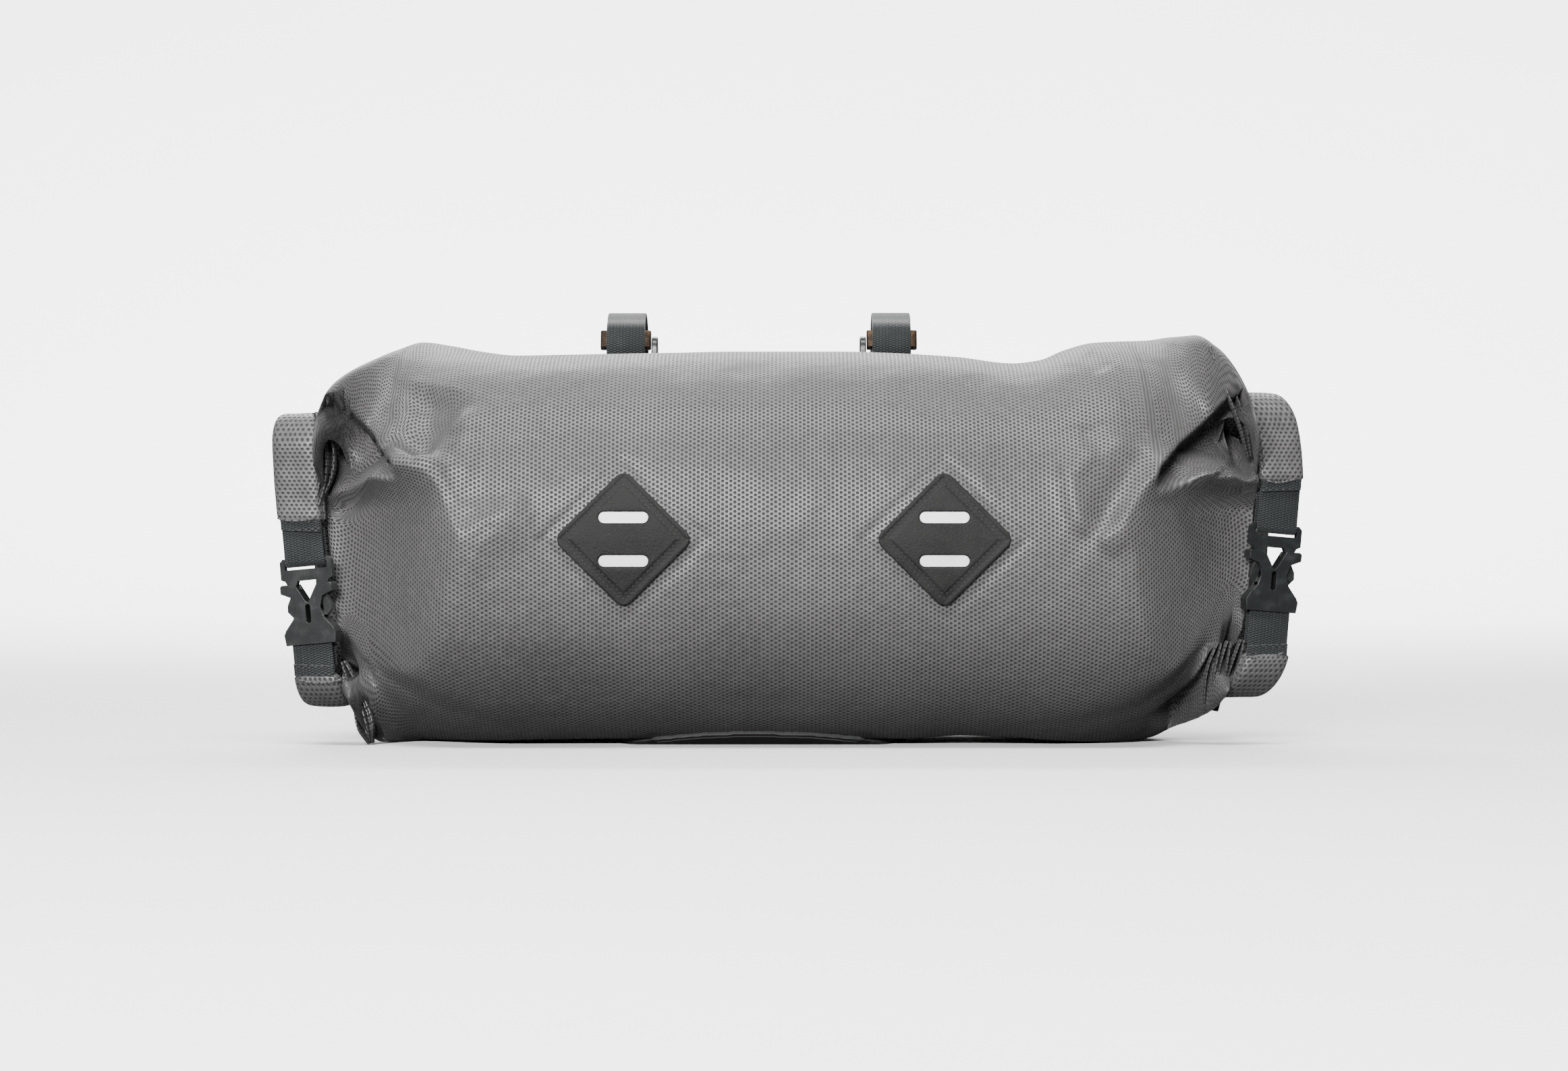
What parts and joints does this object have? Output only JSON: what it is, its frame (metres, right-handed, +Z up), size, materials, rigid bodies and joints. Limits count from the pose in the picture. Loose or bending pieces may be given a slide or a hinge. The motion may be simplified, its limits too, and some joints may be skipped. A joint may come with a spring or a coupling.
{
  "type": "bicycle handlebar bag",
  "caption": "Double-ended roll-top handlebar bag of coated grey fabric, with buckled ends, stitched diamond patches and webbing loops for the handlebar.",
  "frame": {"origin": "on the flat underside of the back panel, below the middle of the bag", "axes": "+X along the bag, towards the end that is on the right in front view; +Y to the back, where the handlebar loops are; +Z up"},
  "size_m": [0.4768, 0.1707, 0.2053],
  "materials": {
    "bag_fabric": "coated fabric with a small dot pattern",
    "black_webbing": "woven webbing",
    "black_plastic": "satin moulded plastic",
    "black_leather": "matt, stitched",
    "reflective_white": "reflective tape",
    "panel_sheet": "smooth coated sheet",
    "dark_metal": "dark bronze"
  },
  "bodies": {
    "root": {"back_panel": "panel_sheet", "bag_shell": "bag_fabric", "bar_strap_left": "black_webbing", "bar_strap_right": "black_webbing", "buckle_plug_left": "black_plastic", "buckle_plug_right": "black_plastic", "buckle_socket_left": "black_plastic", "buckle_socket_right": "black_plastic", "patch_bar_lower_left": "reflective_white", "patch_bar_lower_right": "reflective_white", "patch_bar_upper_left": "reflective_white", "patch_bar_upper_right": "reflective_white", "patch_left": "black_leather", "patch_right": "black_leather", "roll_left": "bag_fabric", "roll_right": "bag_fabric", "strap_cheek_left": "black_plastic", "strap_cheek_right": "black_plastic", "strap_keeper_left": "dark_metal", "strap_keeper_right": "dark_metal", "webbing_lower_left": "black_webbing", "webbing_lower_right": "black_webbing", "webbing_upper_left": "black_webbing", "webbing_upper_right": "black_webbing"}
  },
  "joints": []
}
